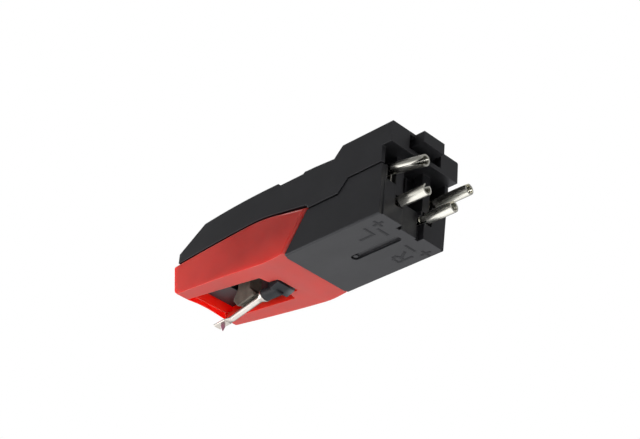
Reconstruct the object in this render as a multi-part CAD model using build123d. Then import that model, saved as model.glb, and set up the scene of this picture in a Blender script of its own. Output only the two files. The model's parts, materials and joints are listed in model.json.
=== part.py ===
from build123d import *
import os
from math import atan2, cos, degrees, radians, sin, tan

# A stereo ceramic pickup cartridge: a black two-part housing, a red clip-on stylus holder with its sprung
# cantilever, and four rolled push-on terminals. Everything is drawn in millimetres from the rear face
# (y = 0, the front lies towards -y), the underside (z = 0) and the middle plane (x = 0). Each piece is then
# moved so that the origin lies in the middle of the mounting seat on top.

# Housing, outside
body_width = 10.0
body_length = 31.0
seat_height = 10.4
block_length = 5.6
block_ramp = 1.15
lip_overhang = 1.25
lip_thickness = 2.54
roof_rear_height = 9.2
roof_front_height = 9.3
roof_crown = 0.36
brow_length = 4.3
brow_bottom_height = 6.8
straight_side = 17.0
front_width = 9.3
dip_start = 10.9
dip_length = 4.4
dip_depth = 0.42
dip_ramp = 0.5
upper_edge_round = 0.2

# Latch tongue at the rear of the lip
tongue_width = 3.06
tongue_length = 1.2
tongue_thickness = 1.3
tongue_slot = 0.85
tongue_pocket_depth = 1.0
tongue_pocket_drop = 0.75
tongue_skin = 0.35

# Housing, inside
wall = 1.0
ceiling_height = 8.2
rear_bay_depth = 2.2
rear_bay_wall = 0.5
bay_back_wall = 1.0

# Parting line between the two housings
parting_height = 5.93
parting_step = 4.63
parting_step_run = 1.37
parting_low_height = 4.54
parting_gap = 0.15
parting_rim = 0.6

# Lower housing
lower_width = 9.8
lower_draft = 1.4
lower_edge_round = 0.25
lower_floor = 0.9
nose_floor_height = 3.5
nose_floor = 0.6
nose_width = 6.5
nose_wall = 0.6
nose_wall_height = 6.8
nose_front_gap = 0.2
nose_front_height = 5.4
nose_front_run = 1.6
nose_slope_run = 2.2
groove_width = 0.95
groove_length = 6.6
groove_from_rear = 1.7
groove_depth = 0.3
gate_radius = 0.26
gate_height = 0.2

# Stylus holder
holder_width = 10.1
holder_front_width = 9.5
holder_low_width = 9.8
holder_low_front_width = 8.5
holder_overhang = 0.58
holder_rear_top = 10.5
holder_rear_top_height = 4.8
holder_bend = 17.3
holder_bend_height = 6.05
holder_bend_radius = 20.0
holder_front_top_height = 5.6
holder_front_rake = 0.3
holder_front_bottom_height = 1.87
holder_front_radius = 0.7
holder_keel = 16.0
holder_keel_height = 0.1
holder_rear_bottom = 13.5
holder_rear_bottom_height = 0.33
holder_wall = 0.9
holder_front_wall = 1.0
holder_front_wall_low = 0.45
holder_floor = 0.9
holder_rear_wall = 1.0
holder_rear_wall_height = 3.0
holder_gap_rear = 0.15
holder_gap_front = 0.03
holder_rear_gap = 0.2
holder_edge_round = 0.45
arch_rise = 0.42
arch_width = 6.6
arch_run = 3.6
window_rear = 17.7
window_neck = 19.15
window_neck_width = 3.0
window_shoulder = 0.25
window_rear_width = 5.4
window_front_width = 5.8
window_corner = 0.3

# Hinge hook of the holder
hook_radius = 0.4
hook_width = 3.2
hook_y = -12.2
hook_height = 0.95
hook_web = 0.5
hook_clearance = 0.1
hook_swing_room = 0.2

# Suspension, cantilever and tip
cantilever_root_y = -21.28
cantilever_root_height = 0.33
cantilever_slope = 13.4
cantilever_radius = 0.36
cantilever_bore = 0.2
cantilever_straight = 5.1
cantilever_tail = 1.7
flare_radius = 0.74
flare_length = 0.75
flare_rim = 0.08
flare_gap = 0.06
spade_taper = 0.8
spade_length = 1.7
spade_width = 1.05
spade_thickness = 0.26
spade_edge_round = 0.115
spade_pitch = 4.8
tip_from_end = 0.95
tip_radius = 0.24
tip_shank = 0.3
tip_cone = 0.5
tip_point_radius = 0.04
rubber_radius = 0.72
rubber_length = 2.43
rubber_heel_length = 1.2
rubber_heel_width = 2.5
rubber_heel_rear = 3.28
rubber_heel_low = 0.45
rubber_heel_rise = 0.35
rubber_round = 0.22
rubber_bridge_width = 1.3
rubber_bore_clearance = 0.06
trunnion_behind_root = 1.38
trunnion_height = 1.5
trunnion_radius = 0.35
trunnion_width = 6.0
trunnion_clearance = 0.07
boss_length = 1.9
boss_height = 2.3
boss_outer_width = 7.2

# Coupler and ceramic elements
coupler_ahead = 2.67
coupler_length = 1.9
coupler_foot_width = 1.7
coupler_shoe_front = 0.75
coupler_shoe_rear = 1.65
coupler_toe_reach = 0.8
coupler_toe_height = 0.95
coupler_shoe_height = 2.05
coupler_heel_height = 0.45
coupler_shoe_lift = 0.3
coupler_shoe_round = 0.3
coupler_neck_width = 1.75
coupler_neck_height = 4.0
coupler_arm_width = 5.1
coupler_arm_height = 4.9
coupler_top_height = 6.8
coupler_running_clearance = 0.26
coupler_hole_width = 2.5
coupler_hole_ahead = 2.4
coupler_hole_behind = 1.3
element_thickness = 0.6
element_height = 1.6
element_bottom_height = 5.0
element_rear_y = -8.4
element_grip = 0.9
clamp_front_y = -14.2
clamp_rear_y = -11.4
clamp_height = 6.9

# Terminals
pin_radius = 0.62
pin_root_radius = 0.58
pin_root_sides = 8
pin_sheet = 0.18
pin_slit = 0.06
pin_notch_length = 1.5
pin_notch_width = 0.62
pin_shoulder_y = 0.2
upper_pin_x = 3.3
upper_pin_height = 5.0
upper_pin_end = 4.4
lower_pin_x = 2.0
lower_pin_height = 2.6
lower_pin_end = 3.6
bent_pin_angle = 11.0
bent_pin_seam_angle = 130
right_pin_seam_angle = 45
pin_slot_clearance = 0.1
leaf_width = 0.8
leaf_tip_y = -10.6
leaf_bend_y = -6.0
leaf_land = 2.3
leaf_clearance = 0.06
centre_post_width = 2.2
centre_post_height = 3.1
centre_post_setback = 0.55
centre_recess_width = 2.5
foot_slot_width = 0.5
foot_slot_depth = 0.8
pin_rib_inner = 1.4
pin_rib_outer = 2.5
pin_rib_setback = 0.25
pin_rib_depth = 1.2

# Worked out from the sizes above
seat_centre_y = (lip_overhang - block_length) / 2
bay_ceiling = seat_height - lip_thickness
holder_length = body_length + holder_overhang
roof_front_y = brow_length - body_length
parting_low_y = -(parting_step + parting_step_run)
cavity_rear_y = -(rear_bay_depth + bay_back_wall)
nose_front_y = holder_front_wall + nose_front_gap - holder_length
nose_top = nose_floor_height + nose_floor
rear_edge_run = holder_rear_bottom - holder_rear_top
rear_edge_slope = atan2(rear_edge_run, holder_rear_top_height - holder_rear_bottom_height)
floor_run = holder_length - holder_front_rake - holder_keel
floor_slope = atan2(holder_front_bottom_height - holder_keel_height, floor_run)
rubber_rear_y = cantilever_root_y + rubber_length
trunnion_y = cantilever_root_y + trunnion_behind_root
coupler_y = cantilever_root_y - coupler_ahead
element_inner_x = lower_pin_x - pin_root_radius + pin_sheet
element_outer_x = element_inner_x + element_thickness
element_front_y = coupler_y + coupler_length / 2 - element_grip
to_seat = Location((0, -seat_centre_y, -seat_height))


def across(profile, width):
    """A side-view face (y, z) carried symmetrically across the middle plane."""
    return extrude(Plane.YZ * profile, amount=width / 2, both=True)


def polygon(*points):
    return make_face(Polyline(*points, close=True))


def block(x0, x1, y0, y1, z0, z1):
    middle = ((x0 + x1) / 2, (y0 + y1) / 2, (z0 + z1) / 2)
    return Pos(*middle) * Box(x1 - x0, y1 - y0, z1 - z0)


def outline(width, front, front_y, rear_y, inset):
    """Plan view of the body: parallel sides that draw in along an arc towards the front."""
    half = width / 2 - inset
    tip = front / 2 - inset
    side = TangentArc((half, -straight_side), (tip, front_y), tangent=(0, -1))
    other = mirror(side, about=Plane.YZ)
    ends = [
        Line((half, rear_y), (half, -straight_side)),
        Line((tip, front_y), (-tip, front_y)),
        Line((-half, -straight_side), (-half, rear_y)),
        Line((-half, rear_y), (half, rear_y)),
    ]
    return make_face([side.edge(), other.edge()] + [line.edge() for line in ends])


def holder_top_edge(rear_rise, front_rise, reach):
    """Upper edge of the holder seen from the side, lifted at its two ends and carried on to y = -reach."""
    fall = (holder_bend_height - holder_front_top_height) / (holder_length - holder_bend)
    return FilletPolyline(
        (-holder_rear_top, holder_rear_top_height + rear_rise),
        (-holder_bend, holder_bend_height + front_rise),
        (-reach, holder_bend_height + front_rise - fall * (reach - holder_bend)),
        radius=holder_bend_radius,
    )


def holder_plan(front_y, inset):
    """Solid between the holder's wide upper outline and its narrower lower one."""
    low = outline(holder_low_width, holder_low_front_width, front_y, 0, inset)
    top = Pos(0, 0, holder_bend_height) * outline(holder_width, holder_front_width, front_y, 0, inset)
    return loft([low, top], ruled=True)


def rear_edge_y(height):
    """Where the slanting rear edge of the holder lies at a height."""
    return -holder_rear_bottom + (height - holder_rear_bottom_height) * tan(rear_edge_slope)


def floor_at(y):
    """Height of the holder's sloping underside."""
    return holder_keel_height + (-holder_keel - y) * tan(floor_slope)


def make_upper_housing():
    edge = holder_top_edge(holder_gap_rear, holder_gap_front, body_length)
    roof_rear_y = -block_length - block_ramp
    roof_middle_height = (roof_rear_height + roof_front_height) / 2 + roof_crown
    crown = ThreePointArc(
        (roof_rear_y, roof_rear_height),
        ((roof_front_y + roof_rear_y) / 2, roof_middle_height),
        (roof_front_y, roof_front_height),
    )
    rear = Polyline(
        edge @ 0,
        (-holder_rear_top + holder_rear_gap, parting_low_height),
        (parting_low_y, parting_low_height),
        (-parting_step, parting_height),
        (0, parting_height),
        (0, bay_ceiling),
        (lip_overhang, bay_ceiling),
        (lip_overhang, seat_height),
        (-block_length, seat_height),
        crown @ 0,
    )
    front = Polyline(crown @ 1, (-body_length, brow_bottom_height), edge @ 1)
    side = make_face(edge.edges() + rear.edges() + crown.edges() + front.edges())
    plan = outline(body_width, front_width, -body_length, lip_overhang, 0)
    shell = across(side, body_width) & extrude(plan, amount=seat_height)
    top_edges = shell.edges().filter_by(lambda e: e.center().Z > roof_front_height - roof_crown)
    side_edges = top_edges.filter_by(lambda e: abs(e.center().X) > front_width / 2 - wall)
    shell = fillet(side_edges.filter_by(lambda e: e.length > block_length / 2), upper_edge_round)

    dip = polygon(
        (-dip_start, seat_height),
        (-dip_start, roof_rear_height + roof_crown),
        (-dip_start - dip_ramp, roof_rear_height + roof_crown - dip_depth),
        (-dip_start - dip_length + dip_ramp, roof_rear_height + roof_crown - dip_depth),
        (-dip_start - dip_length, roof_rear_height + roof_crown),
        (-dip_start - dip_length, seat_height),
    )
    shell -= across(dip, body_width)

    inner_front = wall - body_length
    cavity_side = polygon(
        (cavity_rear_y, 0),
        (cavity_rear_y, ceiling_height),
        (roof_front_y, ceiling_height),
        (inner_front, brow_bottom_height - wall / 2),
        (inner_front, 0),
    )
    inner_plan = outline(body_width, front_width, inner_front, 0, wall)
    shell -= across(cavity_side, body_width) & extrude(inner_plan, amount=ceiling_height)
    bay_half = body_width / 2 - rear_bay_wall
    shell -= block(-bay_half, bay_half, -rear_bay_depth, 0, 0, bay_ceiling)
    rib_low = lower_pin_height + pin_radius + pin_slot_clearance
    rib_rear = -pin_rib_setback
    rib_front = rib_rear - pin_rib_depth
    rib_top = bay_ceiling + wall / 2
    rib = block(pin_rib_inner, pin_rib_outer, rib_front, rib_rear, rib_low, rib_top)
    shell += rib
    shell += mirror(rib, about=Plane.YZ)

    rib_half = nose_width / 2 - nose_wall
    rib_front_y = clamp_front_y + wall
    shell += block(-rib_half, rib_half, rib_front_y, clamp_rear_y - wall, clamp_height, ceiling_height)

    pocket_half = tongue_width / 2 + tongue_slot
    tongue_bottom = seat_height - tongue_thickness
    pocket_y = lip_overhang - tongue_pocket_depth
    pocket_bottom = tongue_bottom - tongue_pocket_drop
    pocket_top = seat_height - tongue_skin
    shell -= block(-pocket_half, pocket_half, pocket_y, lip_overhang, pocket_bottom, pocket_top)
    half = tongue_width / 2
    shell += block(-half, half, pocket_y, lip_overhang + tongue_length, tongue_bottom, seat_height)
    return shell


def make_lower_housing():
    foot_y = rear_edge_y(0) + holder_rear_gap
    corner_y = rear_edge_y(parting_low_height) + holder_rear_gap

    def rear_side(drop):
        return polygon(
            (0, 0),
            (0, parting_height - drop),
            (-parting_step, parting_height - drop),
            (parting_low_y, parting_low_height - drop),
            (corner_y, parting_low_height - drop),
            (foot_y, 0),
        )

    plan = Pos(0, foot_y / 2, parting_height) * Rectangle(lower_width, -foot_y)
    drafted = extrude(plan, amount=-parting_height, taper=lower_draft)
    rear = across(rear_side(parting_gap), lower_width) & drafted
    bottom_edges = rear.edges().filter_by(Axis.Y, tolerance=lower_draft).group_by(Axis.Z)[0]
    rear = fillet(bottom_edges, lower_edge_round)
    rear += across(rear_side(0), lower_width - 2 * parting_rim)

    nose_side = polygon(
        (corner_y, nose_floor_height),
        (corner_y, nose_wall_height),
        (nose_front_y + nose_front_run + nose_slope_run, nose_wall_height),
        (nose_front_y + nose_front_run, nose_front_height),
        (nose_front_y, nose_front_height),
        (nose_front_y, nose_floor_height),
    )
    housing = rear + across(nose_side, nose_width)

    tray_half = lower_width / 2 - wall
    tray_front = corner_y + wall
    housing -= block(-tray_half, tray_half, tray_front, cavity_rear_y, lower_floor, seat_height)
    trough_half = nose_width / 2 - nose_wall
    housing -= block(-trough_half, trough_half, nose_front_y + wall, tray_front, nose_top, seat_height)
    hole_half = coupler_hole_width / 2
    hole_front = coupler_y - coupler_length / 2 - coupler_hole_ahead
    hole_rear = coupler_y + coupler_length / 2 + coupler_hole_behind
    housing -= block(-hole_half, hole_half, hole_front, hole_rear, 0, nose_top)

    slot_half = pin_radius + pin_slot_clearance
    for side in (1, -1):
        for x, z in ((upper_pin_x, upper_pin_height), (lower_pin_x, lower_pin_height)):
            slot_x = side * x
            slot_low = z - slot_half
            slot_inner = slot_x - slot_half
            slot_outer = slot_x + slot_half
            housing -= block(slot_inner, slot_outer, -rear_bay_depth, 0, slot_low, seat_height)
            leaf_x = side * (x - pin_root_radius + pin_sheet / 2)
            leaf_half = pin_sheet / 2 + leaf_clearance
            low = z - leaf_width / 2 - leaf_clearance
            housing -= block(leaf_x - leaf_half, leaf_x + leaf_half, cavity_rear_y, 0, low, seat_height)
        foot_x = side * (centre_post_width + foot_slot_width) / 2
        foot_half = foot_slot_width / 2
        housing -= block(foot_x - foot_half, foot_x + foot_half, -foot_slot_depth, 0, 0, lower_pin_height)
    post_half = centre_post_width / 2
    housing -= block(-post_half, post_half, -centre_post_setback, 0, 0, seat_height)
    recess_half = centre_recess_width / 2
    housing -= block(-recess_half, recess_half, -rear_bay_depth, 0, centre_post_height, seat_height)

    socket = Rot(0, 90, 0) * Cylinder(hook_radius + hook_clearance, hook_width + 2 * hook_clearance)
    mouth_half = hook_web / 2 + hook_swing_room
    socket_half = hook_width / 2 + hook_clearance
    housing -= Pos(0, hook_y, hook_height) * socket
    mouth_low = hook_height - mouth_half
    mouth_top = hook_height + mouth_half
    housing -= block(-socket_half, socket_half, -holder_rear_bottom, hook_y, mouth_low, mouth_top)

    groove_middle = -(groove_from_rear + groove_length / 2)
    housing -= extrude(
        Pos(0, groove_middle) * SlotOverall(groove_length, groove_width, rotation=90), amount=groove_depth
    )
    gate_y = -(groove_from_rear + groove_length - groove_width / 2)
    housing += Pos(0, gate_y, groove_depth) * Cylinder(
        gate_radius, gate_height, align=(Align.CENTER, Align.CENTER, Align.MAX)
    )
    return housing


def make_stylus_holder():
    top = holder_top_edge(0, 0, holder_length)
    front_y = holder_front_rake - holder_length
    lower = FilletPolyline(
        top @ 1,
        (front_y, holder_front_bottom_height),
        (-holder_keel, holder_keel_height),
        (-holder_rear_bottom, holder_rear_bottom_height),
        top @ 0,
        radius=[holder_front_radius, holder_bend_radius / 2, 0],
    )
    side = make_face(top.edges() + lower.edges())
    holder = across(side, holder_width) & holder_plan(-holder_length, 0)
    rear_edges = holder.edges().filter_by(lambda e: e.center().Y > -holder_rear_bottom)
    side_edges = rear_edges.filter_by(lambda e: abs(e.center().X) > holder_front_width / 2 - holder_wall)
    holder = fillet(side_edges.filter_by(lambda e: e.length > holder_rear_top_height / 2), holder_edge_round)

    inner_front = holder_front_wall - holder_length
    inner_low = holder_front_wall_low - holder_length
    lift = holder_floor / cos(floor_slope)
    back = holder_rear_wall / cos(rear_edge_slope)
    inner_low_y = rear_edge_y(floor_at(-holder_keel) + lift) - back
    pocket_side = polygon(
        (inner_front, seat_height),
        (inner_front, holder_front_top_height),
        (inner_low, floor_at(inner_low)),
        (inner_front, floor_at(inner_front) + lift),
        (-holder_keel, floor_at(-holder_keel) + lift),
        (inner_low_y, floor_at(-holder_keel) + lift),
        (rear_edge_y(holder_rear_wall_height) - back, holder_rear_wall_height),
        (0, holder_rear_wall_height),
        (0, seat_height),
    )
    holder -= across(pocket_side, holder_width) & holder_plan(inner_low, holder_wall)

    boss_front = trunnion_y - boss_length / 2
    boss_bottom = floor_at(trunnion_y) + lift / 2
    for side in (1, -1):
        inner_x = window_rear_width / 2
        outer_x = boss_outer_width / 2
        x0, x1 = sorted((side * inner_x, side * outer_x))
        holder += block(x0, x1, boss_front, boss_front + boss_length, boss_bottom, boss_height)

    rear_half = window_rear_width / 2
    front_half = window_front_width / 2
    neck_half = window_neck_width / 2
    shoulder_y = -window_neck - window_shoulder
    window = polygon(
        (-neck_half, -window_rear),
        (neck_half, -window_rear),
        (neck_half, -window_neck),
        (rear_half, shoulder_y),
        (front_half, inner_low),
        (-front_half, inner_low),
        (-rear_half, shoulder_y),
        (-neck_half, -window_neck),
    )
    window = fillet(window.vertices().group_by(Axis.Y)[-1], window_corner)
    window_top = floor_at(inner_low) + lift
    holder -= Pos(0, 0, -seat_height) * extrude(window, amount=seat_height + window_top)

    arch_radius = arch_width**2 / (8 * arch_rise) + arch_rise / 2
    arch_tilt = degrees(floor_slope + atan2(arch_rise, arch_run))
    arch_middle = Pos(0, front_y, holder_front_bottom_height + arch_rise) * Rot(90 - arch_tilt, 0, 0)
    holder -= arch_middle * Pos(0, -arch_radius, 0) * Cylinder(arch_radius, 2 * arch_run)

    seat = trunnion_radius + trunnion_clearance
    span = trunnion_width + 2 * trunnion_clearance
    holder -= Pos(0, trunnion_y, trunnion_height) * Rot(0, 90, 0) * Cylinder(seat, span)
    holder -= block(-span / 2, span / 2, trunnion_y - seat, trunnion_y + seat, trunnion_height, seat_height)

    web_half = hook_web / 2
    hook_half = hook_width / 2
    root_y = rear_edge_y(hook_height) - holder_rear_wall / 2
    holder += block(-hook_half, hook_half, root_y, hook_y, hook_height - web_half, hook_height + web_half)
    holder += Pos(0, hook_y, hook_height) * Rot(0, 90, 0) * Cylinder(hook_radius, hook_width)
    return holder


def cantilever_frame():
    """Plane at the cantilever's root: local z runs forward along the tube, local x stays across the body."""
    slope = radians(cantilever_slope)
    root = (0, cantilever_root_y, cantilever_root_height)
    return Plane(origin=root, x_dir=(1, 0, 0), z_dir=(0, -cos(slope), -sin(slope)))


def spade_frame():
    """Plane where the flattened end begins: it lies flatter than the tube."""
    start = cantilever_frame().from_local_coords(Vector(0, 0, cantilever_straight))
    pitch = radians(spade_pitch)
    return Plane(origin=start, x_dir=(1, 0, 0), z_dir=(0, -cos(pitch), -sin(pitch)))


def make_suspension_block():
    frame = cantilever_frame()
    front_y = cantilever_root_y - rubber_radius
    length = rubber_rear_y - front_y
    middle = Pos(0, (front_y + rubber_rear_y) / 2, cantilever_root_height)
    body = middle * Rot(90, 0, 0) * Cylinder(rubber_radius, length)
    body = fillet(body.edges().group_by(Axis.Y)[-1], rubber_round)
    bridge_half = rubber_bridge_width / 2
    body += block(
        -bridge_half,
        bridge_half,
        trunnion_y - trunnion_radius,
        trunnion_y + trunnion_radius,
        cantilever_root_height,
        trunnion_height,
    )
    heel_rear = cantilever_root_y + rubber_heel_rear
    heel_low = cantilever_root_height - rubber_heel_low
    heel = polygon(
        (heel_rear, heel_low + rubber_heel_rise),
        (heel_rear, trunnion_height),
        (heel_rear - rubber_heel_length, trunnion_height),
        (heel_rear - rubber_heel_length, heel_low),
    )
    body += across(heel, rubber_heel_width)
    body += Pos(0, trunnion_y, trunnion_height) * Rot(0, 90, 0) * Cylinder(trunnion_radius, trunnion_width)
    body -= frame * Cylinder(2 * rubber_radius, length, align=(Align.CENTER, Align.CENTER, Align.MIN))
    bore = Cylinder(
        cantilever_radius + rubber_bore_clearance,
        2 * (cantilever_tail + rubber_bore_clearance),
    )
    return body - frame * bore


def make_cantilever():
    frame = cantilever_frame()
    rear = Align.CENTER, Align.CENTER, Align.MIN
    length = cantilever_tail + cantilever_straight
    tube = Pos(0, 0, -cantilever_tail) * Cylinder(cantilever_radius, length, align=rear)
    flare_start = flare_gap + flare_rim
    flare = Pos(0, 0, flare_gap) * Cylinder(flare_radius, flare_rim, align=rear)
    flare += Pos(0, 0, flare_start) * Cone(flare_radius, cantilever_radius, flare_length, align=rear)
    body = frame * (tube + flare)
    spade = spade_frame()
    joint_face = frame.offset(cantilever_straight) * Circle(cantilever_radius)
    flat = Ellipse(spade_width / 2, spade_thickness / 2)
    body += loft([joint_face, spade.offset(spade_taper) * flat])
    blade = RectangleRounded(spade_width, spade_thickness, spade_edge_round)
    body += extrude(spade.offset(spade_taper) * blade, amount=spade_length)
    bore = Pos(0, 0, -cantilever_tail) * Cylinder(cantilever_bore, length, align=rear)
    return body - frame * bore


def make_stylus_tip():
    seat = spade_frame().from_local_coords(Vector(0, 0, spade_taper + spade_length - tip_from_end))
    pitch = radians(spade_pitch)
    down = Plane(origin=seat, x_dir=(1, 0, 0), z_dir=(0, sin(pitch), -cos(pitch)))
    point = tip_point_radius
    profile = polygon(
        (0, spade_thickness / 2),
        (tip_radius, spade_thickness / 2),
        (tip_radius, spade_thickness / 2 + tip_shank),
        (point, spade_thickness / 2 + tip_shank + tip_cone),
        (0, spade_thickness / 2 + tip_shank + tip_cone + point),
    )
    return down * revolve(Plane.XZ * profile, axis=Axis.Z)


def shoe_height(y):
    """Height of the coupler's foot, which follows the cantilever close to the top of the tube."""
    fall = (cantilever_root_y - y) * tan(radians(cantilever_slope))
    return cantilever_root_height - fall + coupler_shoe_lift


def make_coupler():
    foot = coupler_foot_width / 2
    neck = coupler_neck_width / 2
    arm = coupler_arm_width / 2
    slope = radians(cantilever_slope)
    front_y = coupler_y - coupler_length / 2
    rear_y = coupler_y + coupler_length / 2
    toe_y = coupler_y - coupler_shoe_front
    heel_y = coupler_y + coupler_shoe_rear
    toe_low = shoe_height(toe_y)
    heel_low = shoe_height(heel_y)
    shoe = FilletPolyline(
        (heel_y, heel_low),
        (toe_y, toe_low),
        (toe_y - coupler_toe_reach, toe_low + coupler_toe_height),
        (front_y, toe_low + coupler_shoe_height),
        radius=[coupler_shoe_round, coupler_shoe_round],
    )
    leg = Polyline(
        shoe @ 1,
        (front_y, coupler_top_height),
        (rear_y, coupler_top_height),
        (rear_y, heel_low + coupler_heel_height + heel_y - rear_y),
        (heel_y, heel_low + coupler_heel_height),
        shoe @ 0,
    )
    side_view = make_face(shoe.edges() + leg.edges())
    section = polygon(
        (-foot, toe_low),
        (foot, toe_low),
        (neck, coupler_neck_height),
        (arm, coupler_arm_height),
        (arm, coupler_top_height),
        (element_inner_x - element_thickness, coupler_top_height),
        (0, coupler_arm_height),
        (element_thickness - element_inner_x, coupler_top_height),
        (-arm, coupler_top_height),
        (-arm, coupler_arm_height),
        (-neck, coupler_neck_height),
    )
    yoke = Pos(0, coupler_y, 0) * extrude(Plane.XZ * section, amount=2 * coupler_length, both=True)
    yoke &= across(side_view, coupler_arm_width)
    for side in (1, -1):
        x0, x1 = sorted((side * element_inner_x, side * element_outer_x))
        top = element_bottom_height + element_height
        yoke -= block(x0, x1, element_front_y, coupler_y + coupler_length, element_bottom_height, top)
    reach = cantilever_radius + coupler_running_clearance
    notch = Rot(0, 0, 45) * Box(2 * reach, 2 * reach, 4 * coupler_length)
    middle = cantilever_frame().from_local_coords(Vector(0, 0, (cantilever_root_y - coupler_y) / cos(slope)))
    along = Plane(origin=middle, x_dir=(1, 0, 0), z_dir=cantilever_frame().z_dir)
    return yoke - along * notch


def make_ceramic_element(side):
    x0, x1 = sorted((side * element_inner_x, side * element_outer_x))
    top = element_bottom_height + element_height
    return block(x0, x1, element_front_y, element_rear_y, element_bottom_height, top)


def make_element_clamp():
    half = nose_width / 2 - nose_wall
    clamp = block(-half, half, clamp_front_y, clamp_rear_y, nose_top, clamp_height)
    for side in (1, -1):
        clamp -= make_ceramic_element(side)
    return clamp


def rolled_pin(end_y, slit_turn):
    """A sheet tube along +y with a folded root in the bay and an open seam that widens at its end."""
    face_forward = Plane(origin=(0, 0, 0), x_dir=(1, 0, 0), z_dir=(0, 1, 0))
    root = RegularPolygon(pin_root_radius, pin_root_sides)
    root -= RegularPolygon(pin_root_radius - pin_sheet, pin_root_sides)
    shaft = Circle(pin_radius) - Circle(pin_radius - pin_sheet)
    root_length = rear_bay_depth + pin_shoulder_y + pin_sheet
    tube = extrude(face_forward.offset(-rear_bay_depth) * root, amount=root_length)
    tube += extrude(face_forward.offset(pin_shoulder_y) * shaft, amount=end_y - pin_shoulder_y)
    seam = block(-pin_slit / 2, pin_slit / 2, -rear_bay_depth, end_y, 0, 2 * pin_radius)
    half = pin_notch_width / 2
    notch_y = end_y - pin_notch_length
    notch = polygon((-half, end_y), (half, end_y), (pin_slit / 2, notch_y), (-pin_slit / 2, notch_y))
    opening = seam + extrude(notch, amount=2 * pin_radius)
    return tube - Rot(0, slit_turn, 0) * opening


def leaf_lower(side):
    """Flat tail of a lower terminal: it climbs from the tube to the inner face of its ceramic element."""
    low = lower_pin_height - leaf_width / 2
    top = lower_pin_height + leaf_width / 2
    land_low = element_bottom_height + pin_sheet
    land_top = land_low + leaf_width
    side_view = polygon(
        (-pin_radius, low),
        (-pin_radius, top),
        (leaf_bend_y, top),
        (leaf_tip_y + leaf_land, land_top),
        (leaf_tip_y, land_top),
        (leaf_tip_y, land_low),
        (leaf_tip_y + leaf_land, land_low),
        (leaf_bend_y, low),
    )
    middle = side * (lower_pin_x - pin_root_radius + pin_sheet / 2)
    return Pos(middle, 0, 0) * across(side_view, pin_sheet)


def leaf_upper(side, rise):
    """Flat tail of an upper terminal: it bends inwards to the outer face of its ceramic element."""
    inner = upper_pin_x - pin_root_radius
    land = element_outer_x
    plan = polygon(
        (inner + pin_sheet, -pin_radius),
        (inner, -pin_radius),
        (inner, leaf_bend_y),
        (land, leaf_tip_y + leaf_land),
        (land, leaf_tip_y),
        (land + pin_sheet, leaf_tip_y),
        (land + pin_sheet, leaf_tip_y + leaf_land),
        (inner + pin_sheet, leaf_bend_y),
    )
    low = upper_pin_height - leaf_width / 2
    leaf = Pos(0, 0, low) * extrude(plan, amount=leaf_width)
    leaf += block(inner, inner + pin_sheet, -rear_bay_depth, -pin_radius, low, low + leaf_width + rise)
    return leaf if side > 0 else mirror(leaf, about=Plane.YZ)


def make_terminal(side, level, slit_turn, droop):
    if level == "lower":
        tube = Pos(side * lower_pin_x, 0, lower_pin_height) * rolled_pin(lower_pin_end, slit_turn)
        return tube + leaf_lower(side)
    lean = Pos(0, upper_pin_end, 0) * Rot(-droop, 0, 0) * Pos(0, -upper_pin_end, 0)
    tube = Pos(side * upper_pin_x, 0, upper_pin_height) * lean * rolled_pin(upper_pin_end, slit_turn)
    rise = (upper_pin_end + pin_radius) * tan(radians(droop))
    return tube + leaf_upper(side, rise)


pieces = {
    "upper_housing": make_upper_housing(),
    "lower_housing": make_lower_housing(),
    "stylus_holder": make_stylus_holder(),
    "suspension_block": make_suspension_block(),
    "cantilever": make_cantilever(),
    "stylus_tip": make_stylus_tip(),
    "coupler": make_coupler(),
    "element_clamp": make_element_clamp(),
    "ceramic_element_left": make_ceramic_element(1),
    "ceramic_element_right": make_ceramic_element(-1),
    "terminal_left_upper": make_terminal(1, "upper", bent_pin_seam_angle, bent_pin_angle),
    "terminal_left_lower": make_terminal(1, "lower", 0, 0),
    "terminal_right_upper": make_terminal(-1, "upper", right_pin_seam_angle, 0),
    "terminal_right_lower": make_terminal(-1, "lower", right_pin_seam_angle, 0),
}

os.makedirs("parts", exist_ok=True)
for name, piece in pieces.items():
    export_step(to_seat * piece, os.path.join("parts", name + ".step"))
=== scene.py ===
import json
from math import radians

import bpy
from mathutils import Matrix, Vector


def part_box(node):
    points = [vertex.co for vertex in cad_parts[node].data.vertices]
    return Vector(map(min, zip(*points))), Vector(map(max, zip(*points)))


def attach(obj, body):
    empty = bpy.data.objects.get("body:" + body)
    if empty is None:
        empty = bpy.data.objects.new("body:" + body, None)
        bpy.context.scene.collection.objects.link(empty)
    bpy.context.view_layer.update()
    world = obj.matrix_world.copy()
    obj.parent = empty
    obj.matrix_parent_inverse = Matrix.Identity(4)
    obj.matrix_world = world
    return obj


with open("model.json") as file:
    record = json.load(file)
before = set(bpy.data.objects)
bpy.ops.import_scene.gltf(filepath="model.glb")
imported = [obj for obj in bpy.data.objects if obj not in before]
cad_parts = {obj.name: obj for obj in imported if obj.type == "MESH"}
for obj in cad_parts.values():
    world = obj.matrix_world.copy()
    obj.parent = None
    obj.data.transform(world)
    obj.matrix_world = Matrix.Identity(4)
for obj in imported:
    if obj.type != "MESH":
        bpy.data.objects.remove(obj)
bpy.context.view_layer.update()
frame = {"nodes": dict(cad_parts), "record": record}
cad_nodes = frame["nodes"]
scene = bpy.context.scene

# A millimetre in Blender's metres.
MM = 0.001

# The drawing's own origin is the middle of the lower housing's bottom edge at the rear.
housing_low, housing_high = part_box("lower_housing")
DRAWING_ORIGIN = Vector((0, housing_high.y, housing_low.z))


def place(x, y, z):
    """A point of the drawing, in millimetres, as a point of the row frame, in metres."""
    return DRAWING_ORIGIN + Vector((x, y, z)) * MM


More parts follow.
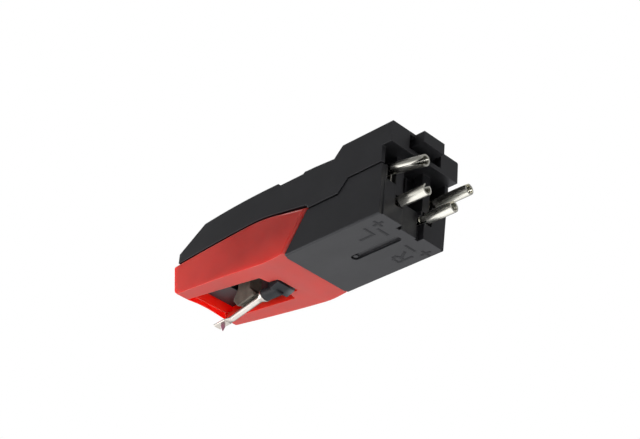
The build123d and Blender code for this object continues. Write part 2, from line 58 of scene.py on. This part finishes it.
# The camera stands low behind the left-channel side and looks up at the underside.
EYE = Vector((103.78, 100.735, -99.56)) * MM
FORWARD = Vector((-0.57491, -0.62157, 0.53210))
DOWN = Vector((-0.42021, -0.33371, -0.84383))
FOCAL_PX = 1697.9
IMAGE_WIDTH_PX = 640
SENSOR_MM = 36.0
NEAREST = 5 * MM
FARTHEST = 20.0

camera_data = bpy.data.cameras.new("camera")
camera_data.sensor_width = SENSOR_MM
camera_data.lens = FOCAL_PX / IMAGE_WIDTH_PX * SENSOR_MM
camera_data.clip_start = NEAREST
camera_data.clip_end = FARTHEST
camera = bpy.data.objects.new("camera", camera_data)
scene.collection.objects.link(camera)
right = DOWN.cross(FORWARD)
camera_axes = Matrix((right, -DOWN, -FORWARD)).transposed()
camera.matrix_world = Matrix.Translation(EYE) @ camera_axes.to_4x4()
scene.camera = camera
scene.view_settings.view_transform = "Standard"

# Most of a noise texture's values lie between these two.
NOISE_LOW = 0.3
NOISE_HIGH = 0.7

# Places of the colours among the sockets of a Mix node.
MIX_FIRST = 6
MIX_SECOND = 7
MIX_RESULT = 2

# An edge starts, and is full, at these cosines between the rounded normal and the true one.
EDGE_START = 0.98
EDGE_FULL = 0.75
BEVEL_RAYS = 6

# A wall starts to face along an axis, and fully does, at these cosines.
FACING_START = 0.5
FACING_FULL = 0.9


def fill(node, values):
    """Sets sockets of a node, by their names with _ in place of spaces."""
    for name, value in values.items():
        node.inputs[name.replace("_", " ")].default_value = value


class NodeTree:
    """Short ways to add nodes to a node tree."""

    def __init__(self, tree):
        self.tree = tree

    def add(self, kind, operation=None, **values):
        node = self.tree.nodes.new("ShaderNode" + kind)
        if operation:
            node.operation = operation
        fill(node, values)
        return node

    def link(self, source, target):
        self.tree.links.new(source, target)

    def joined(self, first, second, operation):
        """Two numbers made into one, by an operation such as MULTIPLY or MAXIMUM."""
        node = self.add("Math", operation)
        self.link(first, node.inputs[0])
        self.link(second, node.inputs[1])
        return node.outputs["Value"]

    def spread(self, value, low=0.0, high=1.0, start=NOISE_LOW, end=NOISE_HIGH):
        """A number that runs from low to high as a value runs from start to end."""
        node = self.add("MapRange", From_Min=start, From_Max=end, To_Min=low, To_Max=high)
        self.link(value, node.inputs["Value"])
        return node.outputs["Result"]


class Look(NodeTree):
    """A Principled material, and short ways to add the nodes that drive it."""

    def __init__(self, name):
        self.material = bpy.data.materials.new(name)
        self.material.use_nodes = True
        super().__init__(self.material.node_tree)
        self.principled = self.tree.nodes["Principled BSDF"]
        self.coords = self.add("TexCoord").outputs["Object"]

    def set(self, **values):
        fill(self.principled, values)

    def color(self, output):
        self.link(output, self.principled.inputs["Base Color"])

    def roughness(self, output):
        self.link(output, self.principled.inputs["Roughness"])

    def bump(self, *layers, normal=None):
        """Layers of (height, strength, distance), each on top of the last."""
        for height, strength, distance in layers:
            node = self.add("Bump", Strength=strength, Distance=distance)
            self.link(height, node.inputs["Height"])
            if normal:
                self.link(normal, node.inputs["Normal"])
            normal = node.outputs["Normal"]
        self.link(normal, self.principled.inputs["Normal"])

    def noise(self, scale, detail=2.0, stretch=None):
        """Cloudy noise over the object, finer with a larger scale. A small stretch draws it out."""
        coords = self.coords
        if stretch:
            mapping = self.add("Mapping", Scale=stretch)
            self.link(coords, mapping.inputs["Vector"])
            coords = mapping.outputs["Vector"]
        node = self.add("TexNoise", Scale=scale, Detail=detail)
        self.link(coords, node.inputs["Vector"])
        return node.outputs["Fac"]

    def mix(self, share, first, second):
        """A colour between two others, each of them an output or a tuple."""
        node = self.add("Mix")
        node.data_type = "RGBA"
        self.link(share, node.inputs["Factor"])
        for color, socket in ((first, node.inputs[MIX_FIRST]), (second, node.inputs[MIX_SECOND])):
            if isinstance(color, tuple):
                socket.default_value = (*color, 1)
            else:
                self.link(color, socket)
        return node.outputs[MIX_RESULT]

    def part(self, vector, axis):
        """The X, Y or Z of a vector."""
        node = self.add("SeparateXYZ")
        self.link(vector, node.inputs["Vector"])
        return node.outputs[axis]

    def true_normal(self):
        return self.add("NewGeometry").outputs["Normal"]

    def rounded(self, radius):
        """The normal as if every edge were rounded."""
        node = self.add("Bevel", Radius=radius)
        node.samples = BEVEL_RAYS
        return node.outputs["Normal"]

    def edges(self, radius):
        """One along edges, nought on flat faces: the rounded normal set against the true one."""
        cosine = self.add("VectorMath", "DOT_PRODUCT")
        self.link(self.rounded(radius), cosine.inputs[0])
        self.link(self.true_normal(), cosine.inputs[1])
        return self.spread(cosine.outputs["Value"], low=1.0, high=0.0, start=EDGE_FULL, end=EDGE_START)

    def along(self, axis, start, end):
        """Nought before one place along an axis of the row frame, one past another, in metres."""
        return self.spread(self.part(self.coords, axis), start=start, end=end)

    def facing(self, axis, way=1):
        """One on walls that face along an axis of the row frame, or against it, nought on the others."""
        turned = self.part(self.true_normal(), axis)
        return self.spread(turned, start=FACING_START * way, end=FACING_FULL * way)

    def facing_inwards(self, start, end):
        """One on walls that face the middle plane from as far as end, nought on those nearer than start."""
        sideways = self.part(self.coords, "X")
        turned = self.part(self.true_normal(), "X")
        return self.spread(self.joined(sideways, turned, "MULTIPLY"), start=-start, end=-end)


# Widths of the paler band along edges, part wear and part painted highlight, and the radius at which a
# moulding's edges catch the light.
MOULDING_WEAR_AND_HIGHLIGHT = 0.12 * MM
RUBBER_WEAR_AND_HIGHLIGHT = 0.14 * MM
MOULDING_RADIUS = 0.08 * MM


def black_plastic(name, shine):
    """Satin black moulding with faint clouds, flow along its length, fine grain and paler edges that are
    part wear and part painted highlight.
    """
    deep = (0.0085, 0.0085, 0.0095)
    faded = (0.012, 0.012, 0.0135)
    rubbed_and_highlit = (0.03, 0.03, 0.033)
    cool_gloss = (0.93, 0.94, 1.0, 1.0)
    look = Look(name)
    cloud = look.noise(scale=350, detail=4)
    grain = look.noise(scale=9000)
    flow = look.noise(scale=160, detail=3, stretch=(1, 0.25, 1))
    base = look.mix(look.spread(cloud), deep, faded)
    # Paler edges: part wear, part painted highlight where the edges catch the light.
    look.color(look.mix(look.edges(MOULDING_WEAR_AND_HIGHLIGHT), base, rubbed_and_highlit))
    look.roughness(look.spread(flow, low=0.34, high=0.46))
    look.set(Specular_IOR_Level=shine, Specular_Tint=cool_gloss)
    look.bump((cloud, 0.12, 0.04 * MM), (grain, 0.16, 0.006 * MM), normal=look.rounded(MOULDING_RADIUS))
    return look.material


def red_plastic(name):
    """Satin red moulding with some light scattered inside it. Its colour holds painted light and shade: side
    walls darker than the underside and lighter towards the nose and foot, and a painted glow on the inner
    front wall and on walls that face the middle.
    """
    inward_glow_red = (0.95, 0.034, 0.014)
    rubbed_and_highlit = (0.80, 0.11, 0.08)
    look = Look(name)
    cloud = look.noise(scale=260, detail=4)
    grain = look.noise(scale=8000)
    patches = look.spread(cloud)
    # Painted light and shade: one red for the underside, a shaded red for the side walls, a lit red towards
    # the nose and foot, and brighter reds as painted glow inside the window.
    under = look.mix(patches, (0.47, 0.024, 0.014), (0.55, 0.030, 0.018))
    shaded_side_red = look.mix(patches, (0.39, 0.017, 0.011), (0.46, 0.022, 0.014))
    lit_side_red = look.mix(patches, (0.62, 0.026, 0.015), (0.70, 0.032, 0.019))
    front_glow_red = look.mix(patches, (0.70, 0.022, 0.010), (0.78, 0.028, 0.013))
    nose = look.along("Y", start=-14 * MM, end=-28 * MM)
    foot = look.along("Z", start=-7 * MM, end=-10 * MM)
    side = look.mix(look.joined(nose, foot, "MAXIMUM"), shaded_side_red, lit_side_red)
    sideways = look.joined(look.facing("X"), look.facing("X", way=-1), "MAXIMUM")
    inside_front = look.joined(nose, look.facing("Y"), "MULTIPLY")
    base = look.mix(sideways, under, side)
    base = look.mix(inside_front, base, front_glow_red)
    base = look.mix(look.facing_inwards(start=0.8 * MM, end=2 * MM), base, inward_glow_red)
    # Paler edges: part wear, part painted highlight where the edges catch the light.
    look.color(look.mix(look.edges(MOULDING_WEAR_AND_HIGHLIGHT), base, rubbed_and_highlit))
    look.roughness(look.spread(cloud, low=0.34, high=0.46))
    look.set(Specular_IOR_Level=0.58, Subsurface_Weight=0.9)
    look.set(Subsurface_Scale=2 * MM, Subsurface_Radius=(1.0, 0.06, 0.03))
    look.bump((cloud, 0.10, 0.04 * MM), (grain, 0.12, 0.005 * MM), normal=look.rounded(MOULDING_RADIUS))
    return look.material


def rubber(name, dark, light, roughness, glinting=False):
    """Matt rubber with paler edges, part wear and part painted highlight. A glinting one has a painted pale
    grey glint at the rear of its right-channel side.
    """
    painted_glint = (0.15, 0.16, 0.165)
    worn_and_highlit = tuple(2.0 * channel for channel in light)
    uneven = 0.08
    look = Look(name)
    cloud = look.noise(scale=900, detail=5)
    grain = look.noise(scale=11000, detail=3)
    base = look.mix(look.spread(cloud), dark, light)
    # Painted glint: pale grey on the rear of the right-channel side.
    if glinting:
        right_side = look.along("X", start=-0.4 * MM, end=-1.3 * MM)
        rear = look.along("Y", start=-17.2 * MM, end=-16.2 * MM)
        base = look.mix(look.joined(right_side, rear, "MULTIPLY"), base, painted_glint)
    # Paler edges: part wear, part painted highlight where the rims catch the light.
    look.color(look.mix(look.edges(RUBBER_WEAR_AND_HIGHLIGHT), base, worn_and_highlit))
    look.roughness(look.spread(grain, low=roughness - uneven, high=roughness + uneven))
    look.set(Specular_IOR_Level=0.3)
    look.bump((cloud, 0.3, 0.05 * MM), (grain, 0.3, 0.012 * MM))
    return look.material


def bright_metal(name, dark, light, roughness):
    """Bright metal with streaks along the part's length and faint stains."""
    stain = tuple(0.55 * channel for channel in dark)
    look = Look(name)
    streaks = look.noise(scale=1400, detail=3, stretch=(1, 0.06, 1))
    spots = look.noise(scale=2600, detail=4)
    base = look.mix(look.spread(streaks), dark, light)
    stained = look.spread(spots, high=0.3, start=0.58, end=0.75)
    look.color(look.mix(stained, base, stain))
    look.roughness(look.spread(streaks, low=roughness - 0.04, high=roughness + 0.05))
    look.set(Metallic=1.0)
    look.bump((streaks, 0.06, 0.01 * MM), (spots, 0.05, 0.01 * MM))
    return look.material


def jewel(name):
    """Polished ruby-coloured sapphire."""
    look = Look(name)
    cloud = look.noise(scale=2500, detail=3)
    look.color(look.mix(look.spread(cloud), (0.30, 0.09, 0.15), (0.42, 0.16, 0.24)))
    look.roughness(look.spread(cloud, low=0.08, high=0.16))
    look.set(Specular_IOR_Level=0.7, IOR=1.76)
    return look.material


def fired_ceramic(name):
    """Fired ceramic, pale and dull."""
    look = Look(name)
    cloud = look.noise(scale=700, detail=5)
    look.color(look.mix(look.spread(cloud), (0.5, 0.48, 0.42), (0.62, 0.6, 0.54)))
    look.roughness(look.spread(cloud, low=0.55, high=0.7))
    look.bump((cloud, 0.2, 0.02 * MM))
    return look.material


finishes = {
    "black_plastic": black_plastic("black_plastic", shine=0.515),
    "red_plastic": red_plastic("red_plastic"),
    "grey_rubber": rubber(
        "grey_rubber",
        dark=(0.008, 0.010, 0.012),
        light=(0.015, 0.018, 0.022),
        roughness=0.55,
        glinting=True,
    ),
    "tan_rubber": rubber(
        "tan_rubber",
        dark=(0.095, 0.085, 0.068),
        light=(0.19, 0.17, 0.14),
        roughness=0.6,
    ),
    "cantilever_metal": bright_metal(
        "cantilever_metal",
        dark=(0.58, 0.535, 0.49),
        light=(0.74, 0.695, 0.645),
        roughness=0.32,
    ),
    "terminal_metal": bright_metal(
        "terminal_metal",
        dark=(0.74, 0.72, 0.64),
        light=(0.90, 0.89, 0.82),
        roughness=0.24,
    ),
    "sapphire": jewel("sapphire"),
    "ceramic": fired_ceramic("ceramic"),
}
for subpart in frame["record"]["subparts"]:
    materials = cad_nodes[subpart["node"]].data.materials
    materials.clear()
    materials.append(finishes[subpart["material_slot"]])

# Moulded edges are never quite sharp: the mouldings and the rubber in the window get a narrow round.
EDGE_ROUNDS = {
    "upper_housing": 0.05 * MM,
    "lower_housing": 0.05 * MM,
    "stylus_holder": 0.07 * MM,
    "coupler": 0.16 * MM,
    "suspension_block": 0.12 * MM,
}
SAME_POINT = 0.001 * MM
FLAT_ANGLE = radians(0.3)
SHARP_ANGLE = radians(35)
ROUND_STEPS = 3
LARGE_FACE_WEIGHT = 90


def round_edges(piece, width):
    """Joins points that lie together, clears lines across flat faces, rounds edges and evens the shading."""
    weld = piece.modifiers.new("weld", "WELD")
    weld.merge_threshold = SAME_POINT
    flat = piece.modifiers.new("flat", "DECIMATE")
    flat.decimate_type = "DISSOLVE"
    flat.angle_limit = FLAT_ANGLE
    bevel = piece.modifiers.new("bevel", "BEVEL")
    bevel.width = width
    bevel.segments = ROUND_STEPS
    bevel.limit_method = "ANGLE"
    bevel.angle_limit = SHARP_ANGLE
    bevel.harden_normals = False
    even = piece.modifiers.new("even", "WEIGHTED_NORMAL")
    even.mode = "FACE_AREA"
    even.weight = LARGE_FACE_WEIGHT
    even.keep_sharp = False


for name, width in EDGE_ROUNDS.items():
    round_edges(cad_nodes[name], width)

# Raised channel marks on the underside, in the drawing's millimetres: wide at the root, narrow at the crest.
STROKE_WIDTH = 0.46
CREST_WIDTH = 0.184
MARK_ROOT = 0.03
MARK_RISE = 0.05

# Faces of one stroke, by the order of its corners, all turned outwards.
STROKE_FACES = [(0, 2, 3, 1), (4, 5, 7, 6), (0, 4, 6, 2), (2, 6, 7, 3), (3, 7, 5, 1), (1, 5, 4, 0)]


def chain(*points):
    """The strokes that join points in a row."""
    return list(zip(points, points[1:]))


r_stem = chain((-3.45, -5.05), (-3.45, -3.25))
r_bowl = chain((-3.45, -5.05), (-2.7, -5.05), (-2.4, -4.8), (-2.4, -4.5), (-2.7, -4.25), (-3.45, -4.25))
r_leg = chain((-2.95, -4.25), (-2.35, -3.25))
signs = {
    "L": chain((2.1, -5.1), (2.1, -3.35), (3.35, -3.35)),
    "L_minus": chain((1.25, -2.3), (2.5, -2.3)),
    "L_plus": chain((2.8, -1.65), (3.75, -1.65)) + chain((3.275, -2.15), (3.275, -1.15)),
    "R": r_stem + r_bowl + r_leg,
    "R_minus": chain((-2.75, -2.3), (-1.55, -2.3)),
    "R_plus": chain((-4.3, -1.7), (-3.4, -1.7)) + chain((-3.85, -2.2), (-3.85, -1.2)),
}
mark_finish = black_plastic("mark_black", shine=0.28)


def stroke_corners(start, end):
    """The four root corners of a stroke between two points, then its four crest corners."""
    first = Vector((*start, 0))
    last = Vector((*end, 0))
    along = (last - first).normalized()
    across = Vector((-along.y, along.x, 0))
    corners = []
    for z, width in ((MARK_ROOT, STROKE_WIDTH), (-MARK_RISE, CREST_WIDTH)):
        half = width / 2
        for tip in (first - along * half, last + along * half):
            for corner in (tip - across * half, tip + across * half):
                corners.append(place(corner.x, corner.y, z))
    return corners


def add_mark(name, strokes):
    """One sign as a piece of the housing. Its strokes cross, so they are joined into one skin."""
    corners = []
    faces = []
    for start, end in strokes:
        faces += [[len(corners) + corner for corner in face] for face in STROKE_FACES]
        corners += stroke_corners(start, end)
    mesh = bpy.data.meshes.new(name)
    mesh.from_pydata(corners, [], faces)
    mesh.update()
    mesh.materials.append(mark_finish)
    mark = bpy.data.objects.new(name, mesh)
    scene.collection.objects.link(mark)
    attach(mark, "housing")
    union = mark.modifiers.new("union", "BOOLEAN")
    union.operation = "UNION"
    union.operand_type = "COLLECTION"
    union.solver = "EXACT"
    union.use_self = True


for name, strokes in signs.items():
    add_mark("mark_" + name, strokes)

# The floor lies far below the hanging part. To the camera it fades into the white backdrop with distance.
FLOOR_Z = -0.30
FLOOR_HALF = 3.0
FADE_START = 0.45
FADE_END = 1.6


def floor_paper(name):
    """Pale paper that runs out into white where the camera looks past the part."""
    look = Look(name)
    fibres = look.noise(scale=40, detail=4)
    look.color(look.mix(look.spread(fibres), (0.86, 0.86, 0.86), (0.9, 0.9, 0.9)))
    look.set(Roughness=0.9)
    distance = look.add("VectorMath", "LENGTH")
    look.link(look.coords, distance.inputs[0])
    faded = look.spread(distance.outputs["Value"], start=FADE_START, end=FADE_END)
    seen = look.add("LightPath").outputs["Is Camera Ray"]
    backdrop = look.add("Emission", Strength=1.0)
    blend = look.add("MixShader")
    look.link(look.joined(faded, seen, "MULTIPLY"), blend.inputs["Fac"])
    look.link(look.principled.outputs["BSDF"], blend.inputs[1])
    look.link(backdrop.outputs["Emission"], blend.inputs[2])
    look.link(blend.outputs["Shader"], look.tree.nodes["Material Output"].inputs["Surface"])
    return look.material


corner_ways = ((-1, -1), (1, -1), (1, 1), (-1, 1))
floor_corners = [(x * FLOOR_HALF, y * FLOOR_HALF, FLOOR_Z) for x, y in corner_ways]
floor_mesh = bpy.data.meshes.new("floor")
floor_mesh.from_pydata(floor_corners, [], [(0, 1, 2, 3)])
floor_mesh.materials.append(floor_paper("floor_paper"))
floor = bpy.data.objects.new("floor", floor_mesh)
scene.collection.objects.link(floor)

# The room is white to the camera and through clear things, and dim to the part and its reflections.
AMBIENT = 0.19
MIRRORED = 0.24
WHITE = (1, 1, 1, 1)

world = bpy.data.worlds.new("studio")
world.use_nodes = True
scene.world = world
room = NodeTree(world.node_tree)
rays = room.add("LightPath").outputs
bright = room.joined(rays["Is Camera Ray"], rays["Is Transmission Ray"], "MAXIMUM")
dim = room.spread(rays["Is Glossy Ray"], low=AMBIENT, high=MIRRORED, start=0.0, end=1.0)
background = world.node_tree.nodes["Background"]
background.inputs["Color"].default_value = WHITE
room.link(room.joined(dim, bright, "MAXIMUM"), background.inputs["Strength"])


def softbox(name, position, target, size, watts):
    """An area lamp that the camera doesn't see."""
    data = bpy.data.lights.new(name, "AREA")
    data.shape = "RECTANGLE"
    data.size, data.size_y = size
    data.energy = watts
    lamp = bpy.data.objects.new(name, data)
    scene.collection.objects.link(lamp)
    lamp.location = position
    lamp.rotation_euler = (Vector(target) - Vector(position)).to_track_quat("-Z", "Y").to_euler()
    lamp.visible_camera = False


# The overhead lamp lights the floor, and so the underside. The last two light one pin and the nose.
middle = place(0, -12, 5)
leaning_pin = place(3.3, 3, 5)
nose_corner = place(3, -28, 4)
softbox("overhead", position=(0, 0, 1.6), target=(0, 0, FLOOR_Z), size=(1.2, 1.2), watts=39)
softbox("front", position=(0.05, -0.50, 0.05), target=middle, size=(0.25, 0.25), watts=1.2)
softbox("rear", position=(-0.35, 0.38, 0.32), target=middle, size=(0.35, 0.35), watts=0.055)
softbox("level", position=(0.234, -0.25, -0.012), target=leaning_pin, size=(0.15, 0.18), watts=0.085)
softbox("near_front", position=(0.045, -0.07, -0.03), target=nose_corner, size=(0.03, 0.03), watts=0.008)
